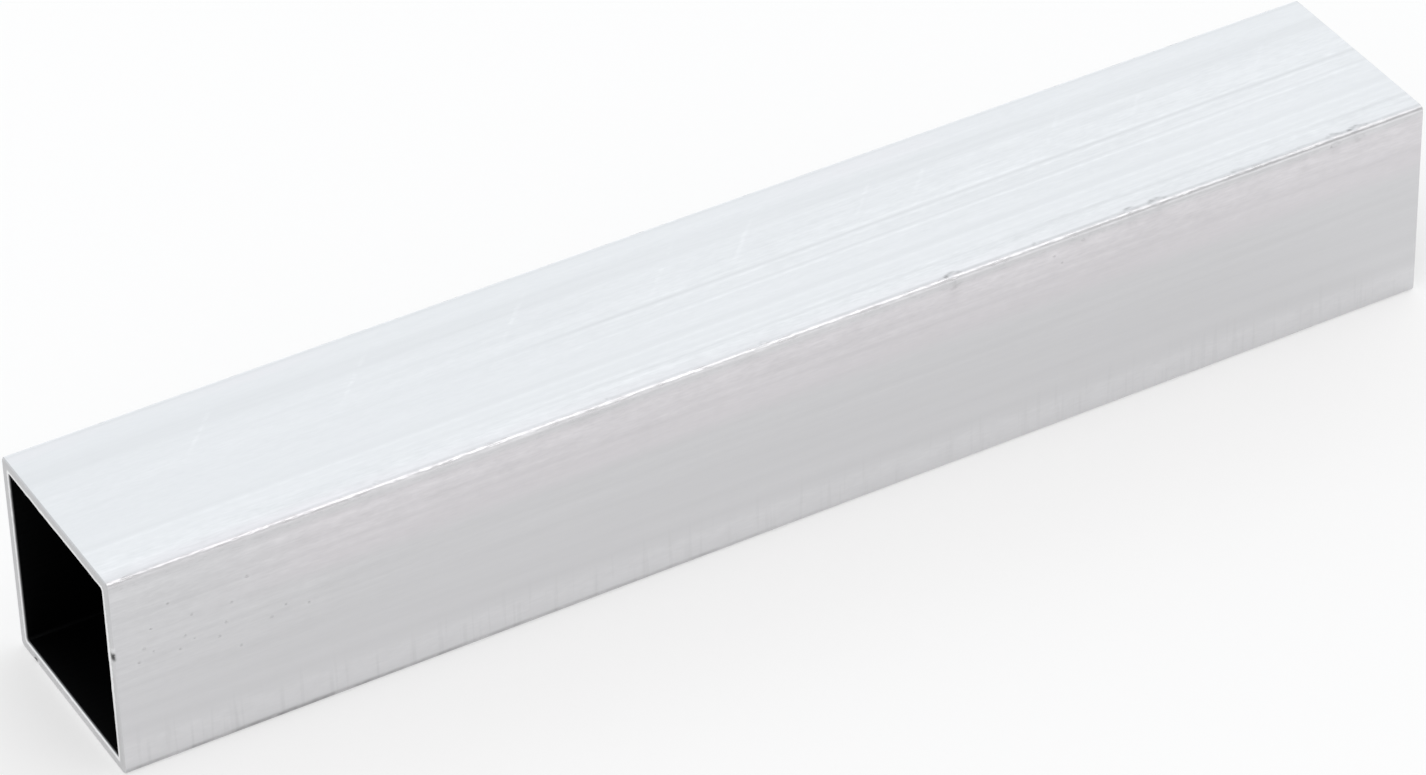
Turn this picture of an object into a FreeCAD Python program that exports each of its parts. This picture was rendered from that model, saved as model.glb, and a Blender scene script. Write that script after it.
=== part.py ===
import FreeCAD
import Part
import os

# Square aluminium tube: a short length of extruded box section, cut square at both ends.
# It is one piece, open right through, with a wall of even thickness.
# Frame: +X runs along the tube and +Z is up. The origin is on the face that the tube lies on,
# halfway along it and halfway across it.

# Driving dimensions, in millimetres
LENGTH = 160.0
SIDE = 25.0
WALL = 1.5
OUTER_CORNER_RADIUS = 0.5
BORE_CORNER_RADIUS = 0.4
OUTER_EDGE_BREAK = 0.12
BORE_EDGE_BREAK = 0.18

# Two places closer than this are taken as one
TOUCHING = 1e-6

ALONG = FreeCAD.Vector(1, 0, 0)
UP = FreeCAD.Vector(0, 0, 1)
AXIS_POINT = FreeCAD.Vector(0, 0, 0)


def rounded_square(side, radius):
    """A closed wire round the X axis, in the plane x = 0: one flat and one round corner, four times over."""
    half = side / 2
    flat_end = half - radius
    arc_middle = flat_end + radius / 2 ** 0.5
    corner = Part.Arc(
        FreeCAD.Vector(0, half, flat_end),
        FreeCAD.Vector(0, arc_middle, arc_middle),
        FreeCAD.Vector(0, flat_end, half),
    )
    flat = Part.LineSegment(FreeCAD.Vector(0, half, -flat_end), FreeCAD.Vector(0, half, flat_end))
    edges = []
    for quarter_turn in range(4):
        for curve in (flat, corner):
            edge = curve.toShape()
            edge.rotate(AXIS_POINT, ALONG, 90 * quarter_turn)
            edges.append(edge)
    return Part.Wire(edges)


def extruded_section():
    """The section as it leaves the die: the outer square less the square of the bore, LENGTH long."""
    outside = Part.Face(rounded_square(SIDE, OUTER_CORNER_RADIUS)).extrude(ALONG * LENGTH)
    bore = Part.Face(rounded_square(SIDE - 2 * WALL, BORE_CORNER_RADIUS)).extrude(ALONG * LENGTH)
    section = outside.cut(bore)
    section.translate(UP * SIDE / 2 - ALONG * LENGTH / 2)
    return section


def cut_rims(tube):
    """The edges round the outside and the edges round the bore, at both saw cuts."""
    outside, bore = [], []
    for face in tube.Faces:
        from_middle = abs(face.CenterOfMass.x)
        if abs(from_middle - LENGTH / 2) < TOUCHING:
            for wire in face.Wires:
                rim = outside if wire.isSame(face.OuterWire) else bore
                rim += wire.Edges
    return outside, bore


def square_tube():
    """The cut length, with the saw's sharp edges broken round the outside and round the bore."""
    tube = extruded_section()
    outside_rims, _ = cut_rims(tube)
    tube = tube.makeChamfer(OUTER_EDGE_BREAK, outside_rims)
    _, bore_rims = cut_rims(tube)
    return tube.makeChamfer(BORE_EDGE_BREAK, bore_rims)


def main():
    os.makedirs("parts", exist_ok=True)
    tube = square_tube()
    tube.exportStep("parts/square_tube.step")
    print("square_tube:", len(tube.Solids), "solid, valid", tube.isValid(), "volume", round(tube.Volume, 1), "mm3")


main()
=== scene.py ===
import math
from collections import namedtuple

import bpy
import numpy as np
from mathutils import Matrix, Vector


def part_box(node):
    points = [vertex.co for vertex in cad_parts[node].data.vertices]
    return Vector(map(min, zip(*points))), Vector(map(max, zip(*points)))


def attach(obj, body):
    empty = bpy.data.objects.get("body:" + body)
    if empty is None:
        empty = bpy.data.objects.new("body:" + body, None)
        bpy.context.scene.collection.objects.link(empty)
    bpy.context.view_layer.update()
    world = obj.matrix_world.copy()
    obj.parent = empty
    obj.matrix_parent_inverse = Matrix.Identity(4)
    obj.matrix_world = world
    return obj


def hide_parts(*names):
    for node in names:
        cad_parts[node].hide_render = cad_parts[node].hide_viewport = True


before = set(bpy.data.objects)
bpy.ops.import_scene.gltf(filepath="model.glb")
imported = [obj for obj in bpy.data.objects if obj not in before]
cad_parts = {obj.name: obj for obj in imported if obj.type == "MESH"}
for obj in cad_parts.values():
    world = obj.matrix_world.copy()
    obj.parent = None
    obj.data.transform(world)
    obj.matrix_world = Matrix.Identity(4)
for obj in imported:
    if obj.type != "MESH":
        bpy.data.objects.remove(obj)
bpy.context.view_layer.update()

# A short length of square aluminium tube in its mill finish, lying on a pale floor.
# Everything is in metres, in the part's own frame: +X along the tube, +Z up, z = 0 the floor.

MM = 0.001

# Sizes that the frame gives
tube_low, tube_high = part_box("square_tube")
LENGTH = tube_high.x - tube_low.x
SIDE = tube_high.z - tube_low.z
AXIS_HEIGHT = (tube_high.z + tube_low.z) / 2

# The section and its saw cuts, the same as in the solid
WALL = 1.5 * MM
OUTER_RADIUS = 0.5 * MM
BORE_RADIUS = 0.4 * MM
OUTER_EDGE_BREAK = 0.12 * MM
BORE_EDGE_BREAK = 0.18 * MM

# How finely the mesh follows it
FLAT_STEPS = 160
CORNER_STEPS = 10
STATION_STEP = 8 * MM
FINE_STATION_STEP = 0.25 * MM
FINE_STATION_REACH = 1.4  # in nick lengths
NEAR_CUT_STATIONS = (0.15 * MM, 0.3 * MM, 0.5 * MM, 0.9 * MM)
BORE_STATION_STEP = 20 * MM
WALL_RINGS = 6

# Distance round the outside, from the back edge of the top flat, down the front, under and up the back
FLAT = SIDE - 2 * OUTER_RADIUS
CORNER = math.pi / 2 * OUTER_RADIUS
FACE = FLAT + CORNER
ROUND = 4 * FACE
ARRIS = FLAT + CORNER / 2
CORNERS = [ARRIS + turn * FACE for turn in range(4)]


def on_top(from_back):
    return from_back - OUTER_RADIUS


def on_front(below_top):
    return FACE + below_top - OUTER_RADIUS


def on_bottom(from_front):
    return 2 * FACE + from_front - OUTER_RADIUS


def on_back(above_floor):
    return 3 * FACE + above_floor - OUTER_RADIUS


# Shapes of functions, for numbers and for arrays

KNOTS = 256


def eased(value, low, high, to_low=0, to_high=1):
    """to_low up to low, to_high from high on, and smooth between them."""
    share = np.clip((value - low) / (high - low), 0, 1)
    return to_low + (to_high - to_low) * share * share * (3 - 2 * share)


def mound(value, middle, reach):
    """1 at the middle, and 0 from the reach on."""
    return eased(np.abs(value - middle), 0, reach, 1, 0)


def bell(value, middle, reach):
    return np.exp(-(((value - middle) / reach) ** 2))


def smooth_noise(u, v, seed):
    """Seeded noise from -1 to 1 that changes smoothly from each whole number to the next."""
    knots = np.random.default_rng(seed).uniform(-1, 1, (KNOTS, KNOTS))
    column, row = np.floor(u).astype(int), np.floor(v).astype(int)
    across, up = eased(u - column, 0, 1), eased(v - row, 0, 1)
    column, row, column_on, row_on = column % KNOTS, row % KNOTS, (column + 1) % KNOTS, (row + 1) % KNOTS
    lower = knots[column, row] * (1 - across) + knots[column_on, row] * across
    upper = knots[column, row_on] * (1 - across) + knots[column_on, row_on] * across
    return lower * (1 - up) + upper * up


# What the die, the saw and wear left in the tube

# A nick on the top front arris: where it is along the tube from the near cut, and its size
Nick = namedtuple("Nick", "along length depth")
NICKS = [
    Nick(31.0 * MM, 0.5 * MM, 0.04 * MM),
    Nick(58.0 * MM, 0.4 * MM, 0.04 * MM),
    Nick(76.5 * MM, 0.5 * MM, 0.04 * MM),
    Nick(99.7 * MM, 0.9 * MM, 0.12 * MM),
    Nick(110.4 * MM, 0.6 * MM, 0.04 * MM),
    Nick(122.1 * MM, 0.8 * MM, 0.10 * MM),
    Nick(125.5 * MM, 1.0 * MM, 0.11 * MM),
    Nick(136.0 * MM, 0.7 * MM, 0.05 * MM),
    Nick(144.3 * MM, 0.5 * MM, 0.05 * MM),
    Nick(148.4 * MM, 0.8 * MM, 0.11 * MM),
    Nick(151.6 * MM, 1.1 * MM, 0.12 * MM),
]
NICK_BREADTH = 0.45 * MM
DEEPEST_NICK = max(nick.depth for nick in NICKS)

# A notch in the outer edge of the near cut
Notch = namedtuple("Notch", "around reach depth")
NOTCHES = [
    Notch(on_front(9.4 * MM), 0.45 * MM, 0.22 * MM),
    Notch(on_bottom(SIDE - 3.3 * MM), 0.34 * MM, 0.16 * MM),
]
NOTCH_LENGTH = 0.25 * MM

# The die's fine waves along the tube: how deep and broad they are, how soon they change along it, and a seed.
# They lie round WAVES_MIDDLE under the face of the solid, so that nothing stands proud of it.
Waves = namedtuple("Waves", "depth breadth length seed")
WAVES = [
    Waves(0.0012 * MM, 0.45 * MM, math.inf, 3),
    Waves(0.0020 * MM, 1.70 * MM, math.inf, 5),
    Waves(0.0020 * MM, 4.10 * MM, 40 * MM, 7),
]
WAVES_MIDDLE = 0.006 * MM
BORE_WAVES = Waves(0.010 * MM, 1.30 * MM, math.inf, 11)

# The arrises are eased a little more than their radius says
ARRIS_EASE = 0.02 * MM
ARRIS_EASE_REACH = 0.8 * MM

# The burr inside each cut: how high it is, and how long its patches and the teeth in them are
BURR = 0.08 * MM
BURR_PATCH = 5 * MM
BURR_TOOTH = 0.9 * MM
FAR_BURR_SEED = 17
NEAR_BURR_SEED = 23


# The mesh

def outline(half, radius):
    """Points and outward normals of a rounded square round the axis, as rows of (y, z).
    They start at the back edge of the top flat, and every outline has as many, side by side."""
    flat_end = half - radius
    points, normals = [], []
    for quarter_turn in range(4):
        turn = quarter_turn * math.pi / 2
        sideways = np.array([-math.cos(turn), -math.sin(turn)])
        outward = np.array([-math.sin(turn), math.cos(turn)])
        for step in range(FLAT_STEPS):
            share = 2 * step / FLAT_STEPS - 1
            points.append(outward * half + sideways * flat_end * share)
            normals.append(outward)
        for step in range(CORNER_STEPS):
            angle = math.pi / 2 * step / CORNER_STEPS
            normal = outward * math.cos(angle) + sideways * math.sin(angle)
            points.append((outward + sideways) * flat_end + normal * radius)
            normals.append(normal)
    return np.array(points), np.array(normals)


def distance_round():
    """How far round the outside each outline point is, and the whole way round as a last entry."""
    steps = [FLAT / FLAT_STEPS] * FLAT_STEPS + [CORNER / CORNER_STEPS] * CORNER_STEPS
    return np.concatenate([[0], np.cumsum(steps * 4)])


def stations():
    """Places along the outside where a ring of points goes, closer together at the nicks and the near cut."""
    left = tube_low.x + OUTER_EDGE_BREAK
    right = tube_high.x - OUTER_EDGE_BREAK
    found = list(np.linspace(left, right, round(LENGTH / STATION_STEP) + 1))
    for nick in NICKS:
        middle = tube_low.x + nick.along
        reach = FINE_STATION_REACH * nick.length
        found += list(np.arange(middle - reach, middle + reach, FINE_STATION_STEP))
    found += [left + beside for beside in NEAR_CUT_STATIONS]
    found = sorted(x for x in found if left <= x <= right)
    kept = [found[0]]
    for x in found[1:]:
        if x - kept[-1] > FINE_STATION_STEP / 2:
            kept.append(x)
    kept[-1] = right
    return kept


def wave_depth(waves, along, around):
    """How far the waves reach in or out of the face there."""
    return waves.depth * smooth_noise(around / waves.breadth, along / waves.length, waves.seed)


def relief(x, around):
    """How deep the outside lies under its true face there: waves, eased arrises, nicks and notches."""
    along = x - tube_low.x
    depth = np.full_like(around, WAVES_MIDDLE)
    for waves in WAVES:
        depth += wave_depth(waves, along, around)
    for corner in CORNERS:
        depth += ARRIS_EASE * bell(around, corner, ARRIS_EASE_REACH)
    for nick in NICKS:
        depth += nick.depth * bell(along, nick.along, nick.length / 2) * bell(around, ARRIS, NICK_BREADTH)
    for notch in NOTCHES:
        depth += notch.depth * bell(along, 0, NOTCH_LENGTH) * bell(around, notch.around, notch.reach)
    return depth


# A ring of points round the tube, and how far in from the outside it lies
Ring = namedtuple("Ring", "zone inward points")


def placed(x, flat_points):
    """The outline's points as rows of (x, y, z)."""
    level = np.full(len(flat_points), x)
    return np.column_stack([level, flat_points[:, 0], flat_points[:, 1] + AXIS_HEIGHT])


def outside_rings():
    points, normals = outline(SIDE / 2, OUTER_RADIUS)
    around = distance_round()[:-1]
    rings = []
    for x in stations():
        depth = relief(x, around)
        rings.append(Ring("outside", 0, placed(x, points - normals * depth[:, None])))
    return rings


def cut_rings(x, burr_seed):
    """The rings across the wall at a cut, from the outside to the bore."""
    around = distance_round()[:-1]
    outer_half = SIDE / 2 - OUTER_EDGE_BREAK
    bore_half = SIDE / 2 - WALL + BORE_EDGE_BREAK
    sunk = relief(x, around)
    burr = np.maximum(smooth_noise(around / BURR_PATCH, 0, burr_seed + 1), 0)
    burr = BURR * burr * smooth_noise(around / BURR_TOOTH, 0, burr_seed)
    rings = []
    for step in range(WALL_RINGS + 1):
        share = step / WALL_RINGS
        half = outer_half + (bore_half - outer_half) * share
        radius = OUTER_RADIUS + (BORE_RADIUS - OUTER_RADIUS) * share
        points, normals = outline(half, radius)
        inward = sunk * (1 - share) ** 2 + burr * share ** 4
        rings.append(Ring("cut", SIDE / 2 - half, placed(x, points - normals * inward[:, None])))
    return rings


def bore_rings():
    """The rings along the bore, from the far cut back to the near one."""
    points, normals = outline(SIDE / 2 - WALL, BORE_RADIUS)
    depth = wave_depth(BORE_WAVES, 0, distance_round()[:-1])
    first = tube_high.x - BORE_EDGE_BREAK
    last = tube_low.x + BORE_EDGE_BREAK
    rings = []
    for x in np.linspace(first, last, round(LENGTH / BORE_STATION_STEP) + 1):
        rings.append(Ring("bore", WALL, placed(x, points + normals * depth[:, None])))
    return rings


# What the finish follows from point to point, kept on the mesh as attributes

# A line or band along the tube: where it is round the outside, how far it reaches to each side,
# how much lighter or darker it is, and from how far along it is clear to see
Line = namedtuple("Line", "around reach change start")
LINES = [
    # the top face
    Line(on_top(0.70 * MM), 0.45 * MM, -0.050, 0),
    Line(on_top(5.20 * MM), 2.70 * MM, -0.030, 0),
    Line(on_top(4.35 * MM), 0.50 * MM, -0.014, 0),
    Line(on_top(5.75 * MM), 0.50 * MM, -0.014, 0),
    Line(on_top(6.75 * MM), 0.60 * MM, 0.010, 0),
    Line(on_top(8.35 * MM), 0.45 * MM, -0.018, 0),
    Line(on_top(10.3 * MM), 1.40 * MM, 0.008, 0),
    Line(on_top(11.55 * MM), 0.30 * MM, 0.050, 60 * MM),
    Line(on_top(12.15 * MM), 0.34 * MM, -0.090, 55 * MM),
    Line(on_top(12.7 * MM), 0.28 * MM, 0.046, 60 * MM),
    Line(on_top(14.4 * MM), 0.28 * MM, -0.058, 65 * MM),
    Line(on_top(14.9 * MM), 0.26 * MM, 0.060, 60 * MM),
    Line(on_top(18.3 * MM), 0.75 * MM, -0.026, 0),
    Line(on_top(19.1 * MM), 0.40 * MM, 0.034, 0),
    Line(on_top(20.3 * MM), 0.30 * MM, 0.022, 20 * MM),
    Line(on_top(20.8 * MM), 0.32 * MM, -0.018, 0),
    Line(on_top(21.4 * MM), 0.28 * MM, 0.044, 45 * MM),
    Line(on_top(21.9 * MM), 0.28 * MM, -0.048, 45 * MM),
    Line(on_top(22.8 * MM), 0.80 * MM, 0.022, 0),
    Line(on_top(22.7 * MM), 1.90 * MM, -0.024, 115 * MM),
    # the next two: a dark line on the top face beside the top front arris, painted shade of the dark edge of
    # its reflection
    Line(on_top(24.40 * MM), 0.36 * MM, -0.085, 0),
    Line(on_top(24.46 * MM), 0.38 * MM, -0.090, 88 * MM),
    # the front half of the top front arris: painted highlight and painted shade, the light and dark bands of
    # its reflection
    Line(ARRIS + 0.26 * MM, 0.30 * MM, 0.060, 34 * MM),
    Line(ARRIS + 0.14 * MM, 0.25 * MM, -0.150, 104 * MM),
    Line(ARRIS + 0.33 * MM, 0.18 * MM, 0.110, 100 * MM),
    Line(ARRIS + 0.55 * MM, 0.36 * MM, -0.044, 0),
    # the front face
    Line(on_front(1.40 * MM), 3.20 * MM, 0.040, 18 * MM),
    Line(on_front(4.60 * MM), 3.60 * MM, 0.012, 18 * MM),
    Line(on_front(1.10 * MM), 0.50 * MM, -0.024, 0),
    Line(on_front(1.95 * MM), 0.60 * MM, 0.030, 0),
    Line(on_front(3.65 * MM), 0.35 * MM, -0.018, 0),
    Line(on_front(4.25 * MM), 0.40 * MM, 0.018, 0),
    Line(on_front(5.10 * MM), 0.42 * MM, -0.032, 0),
    Line(on_front(13.0 * MM), 12.0 * MM, -0.024, 0),
    Line(on_front(10.8 * MM), 0.45 * MM, -0.011, 0),
    Line(on_front(11.6 * MM), 0.45 * MM, 0.013, 0),
    Line(on_front(17.1 * MM), 0.70 * MM, -0.010, 0),
    Line(on_front(18.6 * MM), 0.70 * MM, 0.010, 0),
    Line(on_front(19.9 * MM), 0.80 * MM, -0.016, 0),
    Line(on_front(21.6 * MM), 0.90 * MM, 0.018, 0),
    Line(on_front(22.6 * MM), 2.40 * MM, 0.042, 0),
    # the two faces that lie out of sight in the photograph
    Line(on_bottom(6.0 * MM), 1.20 * MM, -0.018, 0),
    Line(on_bottom(13.5 * MM), 0.40 * MM, -0.025, 0),
    Line(on_bottom(19.0 * MM), 1.60 * MM, 0.015, 0),
    Line(on_back(5.0 * MM), 1.40 * MM, -0.020, 0),
    Line(on_back(11.0 * MM), 0.40 * MM, 0.025, 0),
    Line(on_back(17.5 * MM), 1.10 * MM, -0.016, 0),
]
LINE_FADE = 18 * MM
FAINT_START = 0.05

# A patch round the tube: strongest in its middle, and gone at its reach to either side.
# Pairs named SPAN below say where along the tube something sets in or dies away, and pairs named GAPS
# between which values of the noise it sets in.
Patch = namedtuple("Patch", "middle reach amount")


def patched(around, patches):
    """What the patches amount to at each place round the tube."""
    return sum(patch.amount * mound(around, patch.middle, patch.reach) for patch in patches)


# The die's lines run a little askew: towards the back on top, and down on the front
SKEW = [Patch(on_top(13 * MM), 13 * MM, 0.006), Patch(on_front(18 * MM), 12 * MM, -0.0035)]

# The arrises are rubbed bright, and the top front one goes dull towards both cuts
ARRIS_SHINE = 0.16
ARRIS_SHINE_REACH = 0.45 * MM
DULL_REACH = 0.36 * MM
DULL_AT_NEAR_CUT = 0.15
DULL_AT_FAR_CUT = 0.25
NEAR_DULL_SPAN = (12 * MM, 42 * MM)
FAR_DULL_SPAN = (95 * MM, 155 * MM)

# By the near cut the top face is a little paler in front
PALER = [Patch(on_top(21.5 * MM), 5 * MM, 0.030)]
PALER_SPAN = (5 * MM, 60 * MM)

# The front face has painted shade along its foot, where it meets the floor, most towards the near cut, and a
# broader patch of painted shade in one place there
FOOT = on_front(24.6 * MM)
FOOT_REACH = 0.55 * MM
FOOT_SHADE = 0.30
FOOT_SHADE_FAR = 0.045
FOOT_SPAN = (45 * MM, 100 * MM)
FOOT_SHADE_PATCH = 20 * MM
FOOT_SHADE_PATCH_LENGTH = 10 * MM
FOOT_SHADE_PATCH_REACH = 1.5 * FOOT_REACH
FOOT_SHADE_PATCH_DARK = 0.22


def tone_map(along, around):
    """How much lighter or darker than the plain metal the lines, the arrises and the foot are, with painted
    shade along the foot and beside the top front arris, and painted highlight across it.
    """
    from_line = around + (along - LENGTH / 2) * patched(around, SKEW)
    tone = np.zeros_like(around)
    for line in LINES:
        clear = mound(from_line, line.around, line.reach)
        if line.start:
            clear *= eased(along, line.start - LINE_FADE, line.start + LINE_FADE, FAINT_START, 1)
        tone += line.change * clear
    for corner in CORNERS:
        tone += ARRIS_SHINE * mound(around, corner, ARRIS_SHINE_REACH)
    dull = eased(along, *NEAR_DULL_SPAN, DULL_AT_NEAR_CUT, 0)
    dull += eased(along, *FAR_DULL_SPAN, 0, DULL_AT_FAR_CUT)
    tone -= dull * mound(around, ARRIS, DULL_REACH)
    tone += eased(along, *PALER_SPAN, 1, 0) * patched(around, PALER)
    # Painted shade along the foot of the front face, and its broader patch near the near cut
    tone -= eased(along, *FOOT_SPAN, FOOT_SHADE, FOOT_SHADE_FAR) * mound(around, FOOT, FOOT_REACH)
    return tone - FOOT_SHADE_PATCH_DARK * mound(along, FOOT_SHADE_PATCH, FOOT_SHADE_PATCH_LENGTH) * mound(around, FOOT, FOOT_SHADE_PATCH_REACH)


# The fine streaks show a little anywhere, more in patches, and more still on the front by the near cut
# and on top away from it
STREAKS_LEAST = 0.35
STREAKS = [
    Patch(on_top(22.3 * MM), 2.2 * MM, 0.45),
    Patch(on_top(10 * MM), 14 * MM, 0.35),
    Patch(on_front(1.5 * MM), 7 * MM, 1.00),
    Patch(on_front(10 * MM), 10 * MM, 0.30),
    Patch(on_back(13 * MM), 14 * MM, 0.45),
]
STREAKS_BY_NEAR_CUT = [Patch(on_front(10 * MM), 10 * MM, 0.60)]
BY_NEAR_CUT_SPAN = (15 * MM, 45 * MM)
STREAKS_AWAY = [Patch(on_top(22.3 * MM), 2.2 * MM, 0.55), Patch(on_top(10 * MM), 14 * MM, 0.55)]
AWAY_SPAN = (20 * MM, 110 * MM)


def streak_map(along, around):
    """How strongly the fine streaks show."""
    strength = STREAKS_LEAST + patched(around, STREAKS)
    strength += eased(along, *BY_NEAR_CUT_SPAN, 1, 0) * patched(around, STREAKS_BY_NEAR_CUT)
    return strength + eased(along, *AWAY_SPAN) * patched(around, STREAKS_AWAY)


# The warm tint: a band high on the front that starts a little way along, patches at the back of the top,
# and an uneven strip beside the top front arris that fades along the tube
WARM_BAND_HEAD = (on_front(0.6 * MM), on_front(1.6 * MM))
WARM_BAND_FOOT = (on_front(6.6 * MM), on_front(9.2 * MM))
WARM_BAND_SPAN = (11 * MM, 24 * MM)
WARM_BACK = [Patch(on_top(1.8 * MM), 2.2 * MM, 0.55)]
WARM_BACK_GAPS = (0.1, 0.6)
WARM_STRIP = [Patch(on_top(24.2 * MM), 1.9 * MM, 1.00)]
WARM_STRIP_GAPS = (-0.4, 0.3)
WARM_STRIP_LEAST = 0.45
WARM_STRIP_SPAN = (60 * MM, 125 * MM)
WARM_STRIP_FAR = 0.20
WARM_GRAIN = (15 * MM, 5 * MM)
WARM_SEED = 31


def warmth_map(along, around):
    """Where the metal looks a little warmer."""
    band = eased(around, *WARM_BAND_HEAD) * eased(around, *WARM_BAND_FOOT, 1, 0)
    band *= eased(along, *WARM_BAND_SPAN)
    uneven = smooth_noise(along / WARM_GRAIN[0], around / WARM_GRAIN[1], WARM_SEED)
    back = patched(around, WARM_BACK) * eased(uneven, *WARM_BACK_GAPS)
    strip = patched(around, WARM_STRIP) * eased(uneven, *WARM_STRIP_GAPS, WARM_STRIP_LEAST, 1)
    strip *= eased(along, *WARM_STRIP_SPAN, 1, WARM_STRIP_FAR)
    return np.maximum(band, back + strip)


# Each nick has a dent on top of it, with a painted highlight in the middle and a rim of painted shade that is
# heaviest at the back and towards the near cut. It hardly shows on the arris itself, which is rubbed.
DENT_MIDDLE = ARRIS - 0.30 * MM
DENT_BREADTH = 0.70 * MM
DENT_LENGTH = 1.3  # in nick lengths
DENT_HIGHLIGHT = 0.10
DENT_HIGHLIGHT_REACH = 0.5  # in dents, as are the rim's place, its reach and its fade along the tube
DENT_RIM = 0.75
DENT_RIM_REACH = 0.42
DENT_RIM_SHADE = 0.48
DENT_RIM_LENGTH_FADE = (-0.5, 0.5)
DENT_RIM_FAR = 0.40
DENT_RIM_BREADTH_FADE = (DENT_MIDDLE - 0.15 * MM, DENT_MIDDLE + 0.15 * MM)
DENT_RIM_FRONT = 0.15
RUBBED = [Patch(ARRIS - 0.1 * MM, 0.35 * MM, 0.75)]

# Below each nick the front face has a faint patch of painted shade, with darker specks of scuffing in it
SCUFF_LENGTH = 1.4  # in nick lengths
NICK_SHADE = [Patch(on_front(1.6 * MM), 2.2 * MM, 0.05)]
SCUFF_SPECKS = [Patch(on_front(1.3 * MM), 1.2 * MM, 0.14)]
SCUFF_SPECKS_GAPS = (0.85, 1.3)

# The dents' painted shade and highlight and the scuffs are broken up by noise of this grain
MARKS_AND_SHADE_GRAIN = (0.4 * MM, 0.25 * MM)
MARKS_AND_SHADE_MIDDLE = 0.70
MARKS_AND_SHADE_CONTRAST = 0.9
MARKS_AND_SHADE_SEED = 41

# Each notch has a dark spot of painted shade, the shadow in the notch, shorter along the tube than into the
# wall, and a light burr to one side
SPOT_SHORTENED = 2.4
SPOT_EDGE = (0.40 * MM, 0.75 * MM)
SPOT_SIDES = (0.4, 1.5)  # in the notch's reach, as is the burr's place
NOTCH_SHADE = 0.95
SPOT_BURR = -2.1
SPOT_BURR_REACH = 0.45 * MM
SPOT_BURR_LIGHT = 0.22


def dent_map(along, around, nick, uneven):
    """How much darker the dent on a nick is: painted shade on its rim, less a painted highlight in its
    middle.
    """
    lengthwise = (along - nick.along) / (DENT_LENGTH * nick.length)
    away = np.hypot(lengthwise, (around - DENT_MIDDLE) / DENT_BREADTH)
    rim = DENT_RIM_SHADE * mound(away, DENT_RIM, DENT_RIM_REACH)
    rim *= eased(lengthwise, *DENT_RIM_LENGTH_FADE, 1, DENT_RIM_FAR)
    rim *= eased(around, *DENT_RIM_BREADTH_FADE, 1, DENT_RIM_FRONT)
    dent = rim * uneven - DENT_HIGHLIGHT * mound(away, 0, DENT_HIGHLIGHT_REACH)
    return dent * (1 - patched(around, RUBBED))


def shade_and_scuff_map(along, around, nick, uneven):
    """How much darker the front face is below a nick: painted shade, and scuffed specks."""
    shade_and_scuffs = patched(around, NICK_SHADE) + patched(around, SCUFF_SPECKS) * eased(uneven, *SCUFF_SPECKS_GAPS)
    return shade_and_scuffs * mound(along, nick.along, SCUFF_LENGTH * nick.length)


def notch_shade_map(along, around, inward, notch):
    """How much darker the metal is at a notch: painted shade in the notch, less a light burr beside it."""
    from_notch = (around - notch.around) / notch.reach
    shade_spot = NOTCH_SHADE * eased(np.abs(from_notch), *SPOT_SIDES, 1, 0)
    shade_spot -= SPOT_BURR_LIGHT * mound(from_notch, SPOT_BURR, SPOT_BURR_REACH / notch.reach)
    return shade_spot * eased(np.hypot(SPOT_SHORTENED * along, inward), *SPOT_EDGE, 1, 0)


def marks_and_shade_map(along, around, inward):
    """How much darker the metal is at all the nicks and notches: mostly painted shade, with the scuffed
    specks and the light burrs.
    """
    uneven = smooth_noise(along / MARKS_AND_SHADE_GRAIN[0], around / MARKS_AND_SHADE_GRAIN[1], MARKS_AND_SHADE_SEED)
    uneven = MARKS_AND_SHADE_MIDDLE + MARKS_AND_SHADE_CONTRAST * uneven
    marks_and_shade = np.zeros_like(around)
    for nick in NICKS:
        marks = dent_map(along, around, nick, uneven) + shade_and_scuff_map(along, around, nick, uneven)
        marks_and_shade += nick.depth / DEEPEST_NICK * marks
    for notch in NOTCHES:
        marks_and_shade += notch_shade_map(along, around, inward, notch)
    return marks_and_shade


# On a cut, the bright rim by the bore is widest on the front wall, and the low and front walls are painted
# lighter: painted light that makes up for the shade of the floor they reflect
RIM_WIDTH_LEAST = 0.25 * MM
RIM_WIDTH = [
    Patch(on_front(SIDE / 2), 0.7 * SIDE, 0.30 * MM),
    Patch(on_top(SIDE / 2), 0.7 * SIDE, 0.12 * MM),
]
CUT_PAINTED_LIGHT = [Patch(on_bottom(SIDE / 2), 0.8 * SIDE, 0.18), Patch(on_front(SIDE / 2), 0.7 * SIDE, 0.13)]


def point_maps(along, around, inward):
    """Every value that the finishes read from the mesh, by name."""
    return {
        "skew": patched(around, SKEW),
        "tone": tone_map(along, around),
        "streaks": streak_map(along, around),
        "warmth": warmth_map(along, around),
        "marks_and_shade": marks_and_shade_map(along, around, inward),
        "inward": inward,
        "rim_width": RIM_WIDTH_LEAST + patched(around, RIM_WIDTH),
        "cut_painted_light": patched(around, CUT_PAINTED_LIGHT),
    }


ZONES = ("mill_finish", "sawn_cut", "bore_wall")
ZONE_MATERIAL = {"outside": 0, "cut": 1, "bore": 2}
SHARP_ANGLE = math.radians(30)

# The map that a finish is baked through: the outside below, the bore above it, the two cuts beside the bore
MAP_SHARE = 0.97
MAP_SIDE = LENGTH / MAP_SHARE
MAP_GAP = 0.01
BORE_SHRINK = 0.45
CUTS_FROM = 0.5


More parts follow.
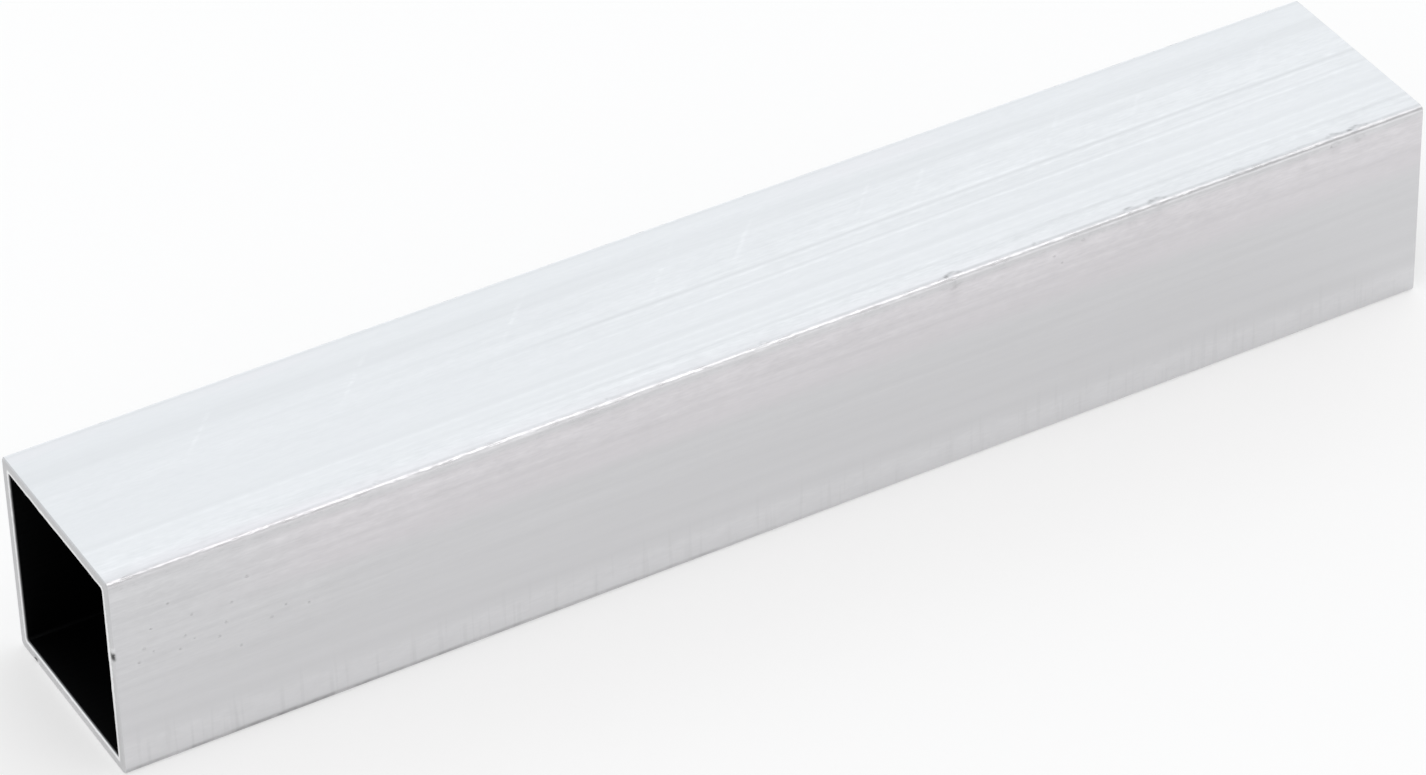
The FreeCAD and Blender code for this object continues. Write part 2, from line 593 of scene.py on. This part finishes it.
def bake_place(zone, along, around, point):
    """Where a point goes on that map. Along and around are shares of the whole way."""
    across, up = along * MAP_SHARE, around * ROUND / MAP_SIDE
    if zone == "outside":
        return MAP_GAP + across, MAP_GAP + up
    bore_floor = 2 * MAP_GAP + ROUND / MAP_SIDE
    if zone == "bore":
        return MAP_GAP + across * BORE_SHRINK, bore_floor + up * BORE_SHRINK
    x, y, z = point
    cut_left = CUTS_FROM if x < 0 else CUTS_FROM + SIDE / MAP_SIDE + MAP_GAP
    return cut_left + (y + SIDE / 2) / MAP_SIDE, bore_floor + z / MAP_SIDE


def tube_rings():
    """The rings of one closed skin: along the outside, across the far cut, back through the bore
    and across the near cut."""
    rings = outside_rings()
    rings += cut_rings(tube_high.x, FAR_BURR_SEED)
    rings += bore_rings()
    rings += cut_rings(tube_low.x, NEAR_BURR_SEED)[::-1]
    return rings


def skin(rings):
    """The faces between each ring and the next, the zone of each, and where its corners go on both maps."""
    count = len(rings[0].points)
    distance = distance_round()
    faces, zones, bake_map, unrolled_map = [], [], [], []
    for i, ring in enumerate(rings):
        following = rings[(i + 1) % len(rings)]
        zone = ring.zone if ring.zone == following.zone else "cut"
        first, second = i * count, (i + 1) % len(rings) * count
        for j in range(count):
            k = (j + 1) % count
            faces.append((first + j, second + j, second + k, first + k))
            zones.append(zone)
            for row, column in ((ring, j), (following, j), (following, j + 1), (ring, j + 1)):
                point = row.points[column % count]
                along = (point[0] - tube_low.x) / LENGTH
                around = distance[column] / ROUND
                unrolled_map.append((along, around))
                bake_map.append(bake_place(zone, along, around, point))
    return faces, zones, bake_map, unrolled_map


def tube_mesh():
    """The skin with its maps, attributes and materials."""
    rings = tube_rings()
    vertices = np.concatenate([ring.points for ring in rings])
    faces, zones, bake_map, unrolled_map = skin(rings)
    mesh = bpy.data.meshes.new("tube_body")
    mesh.from_pydata(vertices.tolist(), [], faces)
    for name, values in (("OFBake", bake_map), ("unrolled", unrolled_map)):
        layer = mesh.uv_layers.new(name=name)
        layer.data.foreach_set("uv", np.array(values, np.float32).ravel())
    along = vertices[:, 0] - tube_low.x
    around = np.tile(distance_round()[:-1], len(rings))
    inward = np.repeat([ring.inward for ring in rings], len(rings[0].points))
    for name, values in point_maps(along, around, inward).items():
        layer = mesh.attributes.new(name=name, type="FLOAT", domain="POINT")
        layer.data.foreach_set("value", values.astype(np.float32))
    for name in ZONES:
        mesh.materials.append(bpy.data.materials.new(name))
    mesh.polygons.foreach_set("material_index", [ZONE_MATERIAL[zone] for zone in zones])
    mesh.shade_smooth()
    mesh.set_sharp_from_angle(angle=SHARP_ANGLE)
    mesh.update()
    return mesh


def tube_body():
    body = bpy.data.objects.new("tube_body", tube_mesh())
    bpy.context.scene.collection.objects.link(body)
    return body


# Materials

PER_MM = (1 / MM, 1 / MM, 0)


class Tree:
    """Short forms for the nodes that the finishes below are made of."""

    def __init__(self, owner):
        owner.use_nodes = True
        self.nodes = owner.node_tree.nodes
        self.links = owner.node_tree.links
        self.nodes.clear()

    def add(self, kind, inputs=None, **settings):
        node = self.nodes.new(kind)
        for name, value in settings.items():
            setattr(node, name, value)
        for name, value in (inputs or {}).items():
            self.feed(node.inputs[name], value)
        return node

    def feed(self, socket, value):
        if isinstance(value, bpy.types.NodeSocket):
            self.links.new(value, socket)
        else:
            socket.default_value = value

    def math(self, operation, first, second=0.0, third=0.0):
        return self.add("ShaderNodeMath", {0: first, 1: second, 2: third}, operation=operation).outputs[0]

    def times(self, first, second):
        return self.math("MULTIPLY", first, second)

    def minus(self, first, second):
        return self.math("SUBTRACT", first, second)

    def plus(self, total, part, amount=1.0):
        """total + part * amount"""
        return self.math("MULTIPLY_ADD", part, amount, total)

    def added(self, total, *parts):
        """total + part * amount, for each (part, amount)."""
        for part, amount in parts:
            total = self.plus(total, part, amount)
        return total

    def apart(self, first, second):
        return self.math("ABSOLUTE", self.minus(first, second))

    def least(self, values):
        found = values[0]
        for value in values[1:]:
            found = self.math("MINIMUM", found, value)
        return found

    def nearest(self, value, places):
        """How far the value is from the nearest of the places."""
        return self.least([self.apart(value, place) for place in places])

    def span(self, value, low, high, to_low=0.0, to_high=1.0):
        """value eased from low..high to to_low..to_high, and held at the ends."""
        inputs = {"Value": value, "From Min": low, "From Max": high, "To Min": to_low, "To Max": to_high}
        return self.add("ShaderNodeMapRange", inputs, interpolation_type="SMOOTHSTEP").outputs[0]

    def mound(self, value, middle, reach):
        """1 at the middle, and 0 from the reach on."""
        return self.span(self.apart(value, middle), 0, reach, 1.0, 0.0)

    def attribute(self, name):
        return self.add("ShaderNodeAttribute", attribute_name=name).outputs["Fac"]

    def stretched(self, vector, scale):
        return self.add("ShaderNodeVectorMath", {0: vector, 1: scale}, operation="MULTIPLY").outputs[0]

    def noise(self, place, grain, detail, roughness=0.5):
        """Noise round 0 over a place in millimetres. The grain is how many features a millimetre holds."""
        inputs = {
            "Vector": self.stretched(place, grain),
            "Scale": 1.0,
            "Detail": detail,
            "Roughness": roughness,
        }
        return self.minus(self.add("ShaderNodeTexNoise", inputs, noise_dimensions="2D").outputs[0], 0.5)

    def mixed(self, share, first, second):
        node = self.add("ShaderNodeMix", data_type="RGBA")
        self.feed(node.inputs["Factor"], share)
        self.feed(node.inputs[6], first)
        self.feed(node.inputs[7], second)
        return node.outputs[2]

    def shaded(self, colour, factor):
        node = self.add("ShaderNodeVectorMath", operation="SCALE")
        self.feed(node.inputs[0], colour)
        self.feed(node.inputs["Scale"], factor)
        return node.outputs[0]

    def measured(self, operation, first, second):
        """A number from two vectors, such as the distance between them."""
        return self.add("ShaderNodeVectorMath", {0: first, 1: second}, operation=operation).outputs["Value"]

    def joined(self, x, y):
        return self.add("ShaderNodeCombineXYZ", {"X": x, "Y": y}).outputs[0]

    def in_millimetres(self, x, y):
        return self.stretched(self.joined(x, y), PER_MM)

    def separated(self, vector):
        return self.add("ShaderNodeSeparateXYZ", {"Vector": vector}).outputs

    def unrolled(self):
        """The place on the unrolled outside: metres along the tube, and metres round it."""
        spread = self.add("ShaderNodeUVMap", uv_map="unrolled").outputs[0]
        at = self.separated(self.stretched(spread, (LENGTH, ROUND, 0)))
        return at["X"], at["Y"]

    def metal(self, colour, roughness, height):
        """A bare metal surface. The height is in millimetres."""
        bump = self.add("ShaderNodeBump", {"Height": height, "Distance": MM, "Strength": 1.0})
        inputs = {"Base Color": colour, "Metallic": 1.0, "Roughness": roughness, "Normal": bump.outputs[0]}
        surface = self.add("ShaderNodeBsdfPrincipled", inputs)
        self.add("ShaderNodeOutputMaterial", {"Surface": surface.outputs[0]})


# In the finishes, a CHANGE is how much lighter or darker something makes the metal, a GRAIN is how many
# features the noise has in a millimetre each way, a pair named EDGE or GAPS holds the values between which
# something sets in or ends, and heights and depths are in millimetres.

COOL_METAL = (0.668, 0.667, 0.680, 1)
WARM_METAL = (0.684, 0.667, 0.686, 1)

# Long streaks, short blotches and fine speckle, and how far the last two break up the lines
STREAK_GRAIN = (0.03, 0.75, 0)
BLOTCH_GRAIN = (0.30, 0.70, 0)
SPECKLE_GRAIN = (0.80, 3.60, 0)
STREAK_CHANGE = 0.17
BLOTCH_CHANGE = 0.085
SPECKLE_CHANGE = 0.060
BLOTCH_ON_LINES = 1.6
SPECKLE_ON_LINES = 0.8
STREAK_HEIGHT = 0.016
Texture = namedtuple("Texture", "streak blotch speckle")

MILL_ROUGHNESS = 0.38
STREAK_ROUGHNESS = 0.12
BLOTCH_ROUGHNESS = 0.06

# The arrises are smoother and more mottled, up to so far from their middles
ARRIS_ROUGHNESS = 0.33
ARRIS_EDGE = (0.30 * MM, 0.55 * MM)
ARRIS_BLOTCH_ROUGHNESS = 0.45
ARRIS_SPECKLE_HEIGHT = 0.055

# Light scratches that lean across the top face: where each crosses SCRATCH_MIDDLE
SCRATCHES = [x * MM for x in (18.9, 36.9, 55.6, 73.8, 83.8, 98.8, 106, 123, 134, 150)]
SCRATCH_MIDDLE = on_top(7.4 * MM)
SCRATCH_REACH = 4.8 * MM
SCRATCH_LEAN = 0.93
SCRATCH_WANDER = 0.35 * MM
SCRATCH_EDGE = (0.05 * MM, 0.5 * MM)
SCRATCH_GAPS = (-0.16, 0.06)
SCRATCH_SPAN = (80 * MM, 140 * MM)
SCRATCH_FAR = 0.5
SCRATCH_CHANGE = 0.052
SCRATCH_DEPTH = 0.006

# Faint marks across the foot of the front face, left by the rollers, and finer rubs among them
ROLLER_PITCH = 5.35 * MM
ROLLER_START = 2.2 * MM
ROLLER_DRIFT = 6 * MM
DRIFT_GRAIN = (0.10, 0, 0)
ROLLER_EDGE = (0.05 * MM, 0.32 * MM)
ROLLER_SPAN = (20 * MM, 75 * MM)
ROLLER_FAR = 0.4
ROLLER_MIDDLE = on_front(23.4 * MM)
ROLLER_REACH = 3.2 * MM
ROLLER_CHANGE = -0.06
RUB_GRAIN = (1.3, 0.07, 0)
RUB_GAPS = (0.10, 0.22)
RUB_MIDDLE = on_front(22.6 * MM)
RUB_REACH = 4.5 * MM
RUB_CHANGE = -0.035

# Small pits in the front face, most of them by the near cut and a few under the nicks, darkened with painted
# shade, with a painted highlight on the lip round each
Pit = namedtuple("Pit", "along around")
PITS = [
    Pit(4.3 * MM, on_front(7.4 * MM)),
    Pit(8.9 * MM, on_front(7.5 * MM)),
    Pit(13.4 * MM, on_front(7.7 * MM)),
    Pit(15.3 * MM, on_front(5.2 * MM)),
    Pit(6.4 * MM, on_front(5.0 * MM)),
    Pit(3.4 * MM, on_front(9.6 * MM)),
    Pit(4.4 * MM, on_front(10.4 * MM)),
    Pit(2.7 * MM, on_front(11.2 * MM)),
    Pit(8.0 * MM, on_front(9.8 * MM)),
    Pit(9.0 * MM, on_front(10.7 * MM)),
    Pit(7.3 * MM, on_front(11.3 * MM)),
    Pit(12.6 * MM, on_front(10.0 * MM)),
    Pit(11.8 * MM, on_front(11.5 * MM)),
    Pit(17.7 * MM, on_front(11.5 * MM)),
    Pit(19.4 * MM, on_front(10.6 * MM)),
    Pit(22.0 * MM, on_front(11.4 * MM)),
    Pit(14.1 * MM, on_front(13.7 * MM)),
    Pit(112.1 * MM, on_front(2.0 * MM)),
    Pit(113.1 * MM, on_front(3.3 * MM)),
    Pit(115.8 * MM, on_front(1.2 * MM)),
    Pit(147.8 * MM, on_front(0.9 * MM)),
]
PIT_EDGE = (0.04 * MM, 0.24 * MM)
PIT_RAGGED = 0.5 * MM
PIT_SHADE = -0.27
PIT_DEPTH = 0.03
LIP = 0.38 * MM
LIP_REACH = 0.18 * MM
LIP_GAPS = (-0.12, 0.15)
LIP_HIGHLIGHT = 0.020

# Specks of dirt on the front face, close to the top front arris
DIRT_GAPS = (0.06, 0.20)
DIRT_MIDDLE = on_front(1.0 * MM)
DIRT_REACH = 1.3 * MM
DIRT_CHANGE = -0.075

# The speckle breaks up the pits and the marks and painted shade at the nicks and notches, down to so much of
# them
MOTTLE = (-0.15, 0.12)
PIT_LEAST = 0.3
MARKS_AND_SHADE_LEAST = 0.7


def scratch_strokes(tree, along, around, texture):
    leaning = tree.plus(along, tree.minus(around, SCRATCH_MIDDLE), SCRATCH_LEAN)
    leaning = tree.plus(leaning, texture.speckle, SCRATCH_WANDER)
    stroke = tree.span(tree.nearest(leaning, SCRATCHES), *SCRATCH_EDGE, 1.0, 0.0)
    stroke = tree.times(stroke, tree.span(texture.blotch, *SCRATCH_GAPS))
    stroke = tree.times(stroke, tree.mound(around, SCRATCH_MIDDLE, SCRATCH_REACH))
    return tree.times(stroke, tree.span(along, *SCRATCH_SPAN, 1.0, SCRATCH_FAR))


def roller_marks(tree, along, around, place):
    drift = tree.noise(place, DRIFT_GRAIN, detail=2)
    from_roller = tree.plus(tree.minus(along, ROLLER_START), drift, ROLLER_DRIFT)
    mark = tree.span(tree.math("PINGPONG", from_roller, ROLLER_PITCH / 2), *ROLLER_EDGE, 1.0, 0.0)
    mark = tree.times(mark, tree.span(along, *ROLLER_SPAN, 1.0, ROLLER_FAR))
    return tree.times(mark, tree.mound(around, ROLLER_MIDDLE, ROLLER_REACH))


def foot_rubs(tree, around, place):
    rub = tree.span(tree.noise(place, RUB_GRAIN, detail=1), *RUB_GAPS)
    return tree.times(rub, tree.mound(around, RUB_MIDDLE, RUB_REACH))


def pits_and_lips(tree, along, around, texture):
    """1 in the pits, and 1 on the lips round them."""
    here = tree.joined(along, around)
    distances = [tree.measured("DISTANCE", here, (pit.along, pit.around, 0)) for pit in PITS]
    away = tree.plus(tree.least(distances), texture.speckle, PIT_RAGGED)
    lip = tree.times(tree.mound(away, LIP, LIP_REACH), tree.span(texture.blotch, *LIP_GAPS))
    return tree.span(away, *PIT_EDGE, 1.0, 0.0), lip


def mill_finish(material):
    """The extruded outside."""
    tree = Tree(material)
    along, around = tree.unrolled()
    from_line = tree.plus(around, tree.minus(along, LENGTH / 2), tree.attribute("skew"))
    place = tree.in_millimetres(along, from_line)
    texture = Texture(
        streak=tree.noise(place, STREAK_GRAIN, detail=4, roughness=0.72),
        blotch=tree.noise(place, BLOTCH_GRAIN, detail=2, roughness=0.7),
        speckle=tree.noise(place, SPECKLE_GRAIN, detail=1),
    )
    streak, blotch, speckle = texture
    strength = tree.attribute("streaks")
    streaks = tree.times(streak, strength)
    broken_up = tree.added(1.0, (blotch, BLOTCH_ON_LINES), (speckle, SPECKLE_ON_LINES))
    stroke = scratch_strokes(tree, along, around, texture)
    pit, lip = pits_and_lips(tree, along, around, texture)
    dirt = tree.times(tree.span(speckle, *DIRT_GAPS), tree.mound(around, DIRT_MIDDLE, DIRT_REACH))
    shade = tree.added(
        1.0,
        (tree.times(tree.attribute("tone"), broken_up), 1.0),
        (streaks, STREAK_CHANGE),
        (tree.times(blotch, strength), BLOTCH_CHANGE),
        (tree.times(speckle, strength), SPECKLE_CHANGE),
        (stroke, SCRATCH_CHANGE),
        (roller_marks(tree, along, around, place), ROLLER_CHANGE),
        (foot_rubs(tree, around, place), RUB_CHANGE),
        # painted highlight on the pits' lips, and painted shade in the pits
        (lip, LIP_HIGHLIGHT),
        (tree.times(pit, tree.span(speckle, *MOTTLE, PIT_LEAST, 1.0)), PIT_SHADE),
        (dirt, DIRT_CHANGE),
        # painted shade and scuffs at the nicks and notches
        (tree.times(tree.attribute("marks_and_shade"), tree.span(speckle, *MOTTLE, MARKS_AND_SHADE_LEAST, 1.0)), -1.0),
    )
    colour = tree.shaded(tree.mixed(tree.attribute("warmth"), COOL_METAL, WARM_METAL), shade)
    rubbed = tree.span(tree.nearest(around, CORNERS), *ARRIS_EDGE, 1.0, 0.0)
    roughness = tree.added(
        MILL_ROUGHNESS,
        (streak, STREAK_ROUGHNESS),
        (blotch, BLOTCH_ROUGHNESS),
        (rubbed, ARRIS_ROUGHNESS - MILL_ROUGHNESS),
        (tree.times(rubbed, blotch), ARRIS_BLOTCH_ROUGHNESS),
    )
    height = tree.added(
        tree.times(streaks, STREAK_HEIGHT),
        (tree.times(rubbed, speckle), ARRIS_SPECKLE_HEIGHT),
        (stroke, -SCRATCH_DEPTH),
        (pit, -PIT_DEPTH),
    )
    tree.metal(colour, roughness, height)


SAWN_METAL = (0.560, 0.560, 0.568, 1)
RIM_METAL = (0.820, 0.820, 0.825, 1)
# The bore's edge colour is painted shade, dark as the bore beyond it
BORE_EDGE_PAINTED_SHADE = (0.070, 0.070, 0.072, 1)

# The lines that follow the walls, the marks of the saw's teeth across them, and the wear of the rim
SAW_LINE_GRAIN = (0.5, 7, 0)
SAW_LINE_CHANGE = 0.16
SAW_LINE_ROUGHNESS = 0.08
SAW_LINE_HEIGHT = 0.010
TOOTH_GRAIN = (4.5, 0.8, 0)
TOOTH_CHANGE = 0.10
TOOTH_HEIGHT = 0.006
WEAR_GRAIN = (0.6, 0, 0)
SAWN_ROUGHNESS = 0.46
RIM_ROUGHNESS = 0.36

# How the rim's width wanders, how soft its edge is, and where the painted shade at the bore's edge, which
# runs on into the bore's dark, starts and ends
RIM_WEAR = 0.16 * MM
RIM_TEETH = 0.22 * MM
RIM_EDGE = (-0.08 * MM, 0.08 * MM)
DARK_EDGE = (-0.75 * BORE_EDGE_BREAK, 0.1 * BORE_EDGE_BREAK)


def sawn_cut(material):
    """The two cuts. The saw and the deburring leave lines along the walls and a bright rim by the bore. The
    bore's edge is darkened with painted shade, and the low and front walls are painted lighter.
    """
    tree = Tree(material)
    around = tree.unrolled()[1]
    inward = tree.attribute("inward")
    place = tree.in_millimetres(around, inward)
    lines = tree.noise(place, SAW_LINE_GRAIN, detail=2)
    teeth = tree.noise(place, TOOTH_GRAIN, detail=2)
    wear = tree.noise(place, WEAR_GRAIN, detail=2)
    from_bore = tree.minus(WALL - BORE_EDGE_BREAK, inward)
    rim_width = tree.added(tree.attribute("rim_width"), (wear, RIM_WEAR), (teeth, RIM_TEETH))
    rim = tree.span(tree.minus(from_bore, rim_width), *RIM_EDGE, 1.0, 0.0)
    edge = tree.span(from_bore, *DARK_EDGE, 1.0, 0.0)
    shade = tree.added(
        1.0,
        (lines, SAW_LINE_CHANGE),
        (teeth, TOOTH_CHANGE),
        # painted light: the low and front walls of the cut lighter
        (tree.attribute("cut_painted_light"), 1.0),
        # painted shade at the notches
        (tree.attribute("marks_and_shade"), -1.0),
    )
    colour = tree.shaded(tree.mixed(rim, SAWN_METAL, RIM_METAL), shade)
    # painted shade at the bore's edge
    colour = tree.mixed(edge, colour, BORE_EDGE_PAINTED_SHADE)
    roughness = tree.added(SAWN_ROUGHNESS, (rim, RIM_ROUGHNESS - SAWN_ROUGHNESS), (lines, SAW_LINE_ROUGHNESS))
    height = tree.added(tree.times(lines, SAW_LINE_HEIGHT), (teeth, TOOTH_HEIGHT))
    tree.metal(colour, roughness, height)


# The bore's near-black colours are painted shade, the dark inside of the tube, the streaks a little darker
BORE_PAINTED_SHADE = (0.030, 0.030, 0.032, 1)
BORE_STREAK_PAINTED_SHADE = (0.020, 0.020, 0.021, 1)
BORE_GRAIN = (0.015, 1.5, 0)
BORE_STREAK_EDGE = (-0.3, 0.3)
BORE_ROUGHNESS = 0.36
BORE_STREAK_ROUGHNESS = 0.12
BORE_STREAK_HEIGHT = 0.010


def bore_wall(material):
    """The inside, painted near black: painted shade for the dark inside of the tube, with the die's streaks
    along it.
    """
    tree = Tree(material)
    lines = tree.noise(tree.in_millimetres(*tree.unrolled()), BORE_GRAIN, detail=2)
    colour = tree.mixed(tree.span(lines, *BORE_STREAK_EDGE), BORE_PAINTED_SHADE, BORE_STREAK_PAINTED_SHADE)
    roughness = tree.plus(BORE_ROUGHNESS, lines, BORE_STREAK_ROUGHNESS)
    tree.metal(colour, roughness, tree.times(lines, BORE_STREAK_HEIGHT))


# Studio

FLOOR_RADIUS = 4.0
FLOOR_GAP = 0.02 * MM
FLOOR_COLOUR = (0.860, 0.854, 0.852, 1)
FLOOR_SIDES = 128
FLOOR_WHITE = 0.45


def pale_floor():
    """A plain floor that keeps the tube's shadow. The camera and the metal see it as part plain white."""
    turns = [2 * math.pi * i / FLOOR_SIDES for i in range(FLOOR_SIDES)]
    ring = [(FLOOR_RADIUS * math.cos(turn), FLOOR_RADIUS * math.sin(turn), 0) for turn in turns]
    mesh = bpy.data.meshes.new("floor")
    mesh.from_pydata(ring, [], [list(range(FLOOR_SIDES))])
    floor = bpy.data.objects.new("floor", mesh)
    floor.location.z = tube_low.z - FLOOR_GAP
    material = bpy.data.materials.new("pale_floor")
    tree = Tree(material)
    lit = tree.add("ShaderNodeBsdfDiffuse", {"Color": FLOOR_COLOUR})
    white = tree.add("ShaderNodeEmission", {"Color": (1, 1, 1, 1), "Strength": 1.0})
    ray = tree.add("ShaderNodeLightPath").outputs
    seen = tree.math("MAXIMUM", ray["Is Camera Ray"], ray["Is Glossy Ray"])
    seen = tree.times(tree.math("MAXIMUM", seen, ray["Is Transmission Ray"]), FLOOR_WHITE)
    surface = tree.add("ShaderNodeMixShader", {0: seen, 1: lit.outputs[0], 2: white.outputs[0]})
    tree.add("ShaderNodeOutputMaterial", {"Surface": surface.outputs[0]})
    mesh.materials.append(material)
    bpy.context.scene.collection.objects.link(floor)


# The camera, as solved from the edges in the photograph
CAMERA_PLACE = Vector((-0.2688, -0.4785, 0.4258))
CAMERA_AZIMUTH = math.radians(29.04)
CAMERA_ELEVATION = math.radians(37.14)
CAMERA_ROLL = math.radians(1.54)
CAMERA_LENS = 161.6
CLIP_START = 0.01
CLIP_END = 20


def photo_camera():
    level = math.cos(CAMERA_ELEVATION)
    forward = Vector((
        math.sin(CAMERA_AZIMUTH) * level,
        math.cos(CAMERA_AZIMUTH) * level,
        -math.sin(CAMERA_ELEVATION),
    ))
    level_right = forward.cross(Vector((0, 0, 1))).normalized()
    level_up = level_right.cross(forward)
    right = level_right * math.cos(CAMERA_ROLL) - level_up * math.sin(CAMERA_ROLL)
    up = right.cross(forward)
    data = bpy.data.cameras.new("photo_camera")
    data.lens = CAMERA_LENS
    data.clip_start = CLIP_START
    data.clip_end = CLIP_END
    camera = bpy.data.objects.new("photo_camera", data)
    turned = Matrix((right, up, -forward)).transposed().to_4x4()
    camera.matrix_world = Matrix.Translation(CAMERA_PLACE) @ turned
    bpy.context.scene.collection.objects.link(camera)
    bpy.context.scene.camera = camera


# The studio round the tube, by how bright each part of it is, where 1 is white:
# a pale wall behind, a long soft box overhead that runs along the tube and a little in front of it,
# and plain walls elsewhere
BACK_WALL = (1.285, 1.340, 1.364, 1)
BACK_WALL_SIDES = (-0.1, 0.5)
BACK_WALL_TOP = (math.sin(math.radians(46)), math.sin(math.radians(60)))
BEHIND = Vector((math.sin(CAMERA_AZIMUTH), math.cos(CAMERA_AZIMUTH), 0))
OTHER_WALLS = (0.824, 0.824, 0.824, 1)
SOFT_BOX = (1.60, 1.60, 1.60, 1)
SOFT_BOX_TILT = math.radians(12)
SOFT_BOX_EDGE = (math.radians(16), math.radians(26))
SOFT_BOX_END = (0.50, 0.68)


def studio_walls():
    world = bpy.data.worlds.new("studio_walls")
    bpy.context.scene.world = world
    tree = Tree(world)
    direction = tree.add("ShaderNodeTexCoord").outputs["Generated"]
    at = tree.separated(direction)
    facing = tree.measured("DOT_PRODUCT", direction, BEHIND)
    back = tree.times(tree.span(facing, *BACK_WALL_SIDES), tree.span(at["Z"], *BACK_WALL_TOP, 1.0, 0.0))
    walls = tree.mixed(back, OTHER_WALLS, BACK_WALL)
    tilt = tree.math("ARCTAN2", tree.times(at["Y"], -1.0), at["Z"])
    box = tree.span(tree.apart(tilt, SOFT_BOX_TILT), *SOFT_BOX_EDGE, 1.0, 0.0)
    box = tree.times(box, tree.span(tree.math("ABSOLUTE", at["X"]), *SOFT_BOX_END, 1.0, 0.0))
    light = tree.add("ShaderNodeBackground", {"Color": tree.mixed(box, walls, SOFT_BOX), "Strength": 1.0})
    tree.add("ShaderNodeOutputWorld", {"Surface": light.outputs[0]})


body = tube_body()
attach(body, "root")
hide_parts("square_tube")
mill_finish(bpy.data.materials["mill_finish"])
sawn_cut(bpy.data.materials["sawn_cut"])
bore_wall(bpy.data.materials["bore_wall"])
pale_floor()
photo_camera()
studio_walls()
bpy.context.scene.view_settings.view_transform = "Standard"
